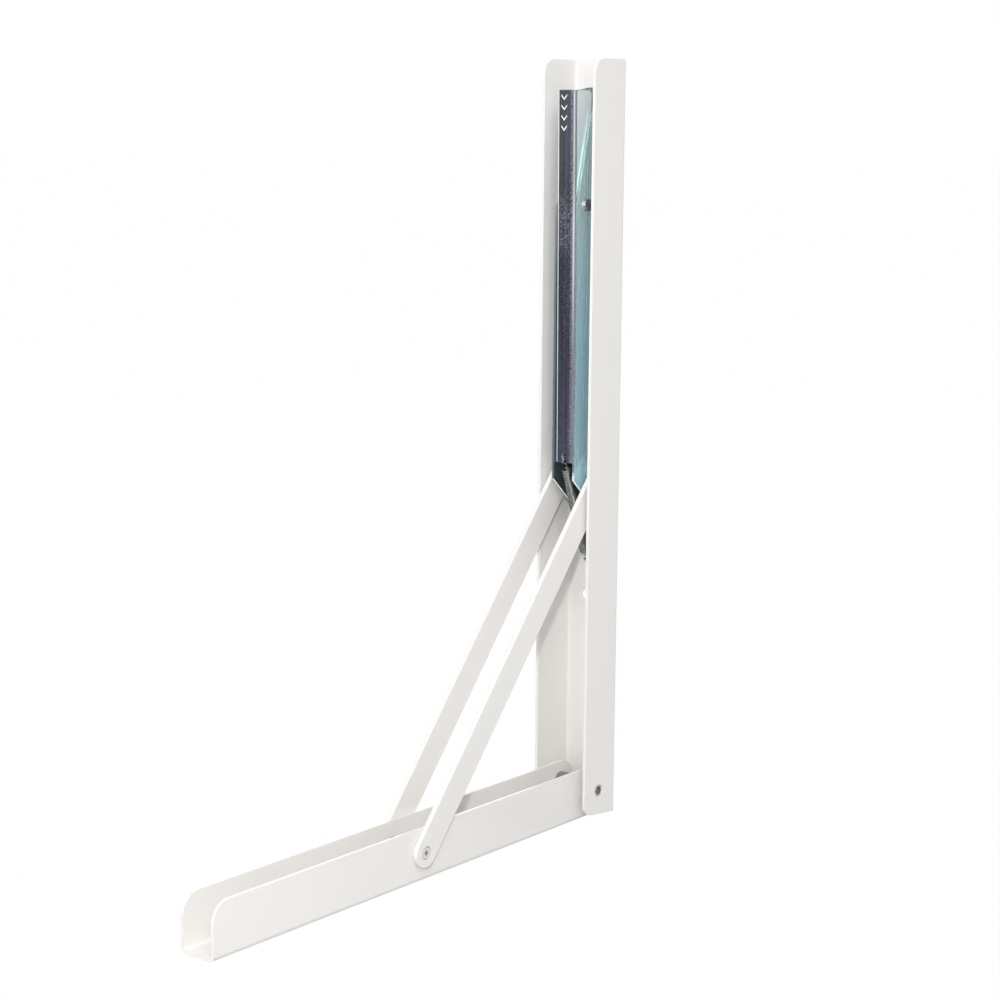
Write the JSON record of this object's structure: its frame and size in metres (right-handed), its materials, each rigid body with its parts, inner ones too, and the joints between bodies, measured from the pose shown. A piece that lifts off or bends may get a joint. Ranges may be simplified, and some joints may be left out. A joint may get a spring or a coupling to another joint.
{
  "type": "folding shelf bracket",
  "caption": "Steel wall bracket whose shelf arm folds down flat once a sprung lever in the arm is pushed, with a twin-bar strut that slides and locks.",
  "frame": {"origin": "on the wall leg's back, straight below the main pivot", "axes": "-X along the wall leg to its free end, +Z along the open shelf arm, -Z into the wall, +X into the shelf"},
  "size_m": [0.2993, 0.0334, 0.401],
  "materials": {
    "powder_coat": "smooth white powder coat",
    "zinc_plate": "bright blue-passivated zinc",
    "pin_steel": "plain turned steel",
    "spring_wire": "oiled spring wire",
    "nylon": "natural nylon"
  },
  "bodies": {
    "wall": {"wall_leg": "powder_coat", "pivot_sleeve": "pin_steel", "strut_foot_rivet_near": "pin_steel", "strut_foot_rivet_far": "pin_steel"},
    "arm": {"shelf_arm": "powder_coat", "guide_channel": "zinc_plate", "guide_rivets": "pin_steel", "lever_pin": "pin_steel", "release_spring": "spring_wire", "pivot_barrel": "pin_steel", "pivot_screw": "pin_steel", "pivot_spacer_near": "nylon", "pivot_spacer_far": "nylon"},
    "strut": {"strut_bar_near": "powder_coat", "strut_bar_far": "powder_coat", "strut_top_rivet_near": "pin_steel", "strut_top_rivet_far": "pin_steel"},
    "slider": {"slider_pin": "pin_steel", "slider_washer_near": "nylon", "slider_washer_far": "nylon"},
    "lever": {"release_lever": "zinc_plate"}
  },
  "joints": [
    {"name": "fold", "type": "hinge", "parent": "wall", "child": "arm", "pos_m": [0, 0, 0.0158], "axis": [0, -1, 0], "range_deg": [0, 90]},
    {"name": "strut_turn", "type": "hinge", "parent": "wall", "child": "strut", "pos_m": [-0.1398, 0, 0.0152], "axis": [0, -1, 0], "range_deg": [0, 128.6]},
    {"name": "strut_slide", "type": "slide", "parent": "arm", "child": "slider", "axis": [0, 0, 1], "range_m": [0, 0.19304]},
    {"name": "lever_push", "type": "hinge", "parent": "arm", "child": "lever", "pos_m": [-0.005, 0, 0.3268], "axis": [0, 1, 0], "range_deg": [0, 0.75], "stiffness_Nm_per_rad": 3, "springref_deg": -1.15, "deforming": ["release_spring"]}
  ],
  "couplings": [
    {"joint": "strut_turn", "follows": "fold", "ratio": 1.4286},
    {"joint": "strut_slide", "follows": "fold", "m_per_rad": 0.12289}
  ]
}
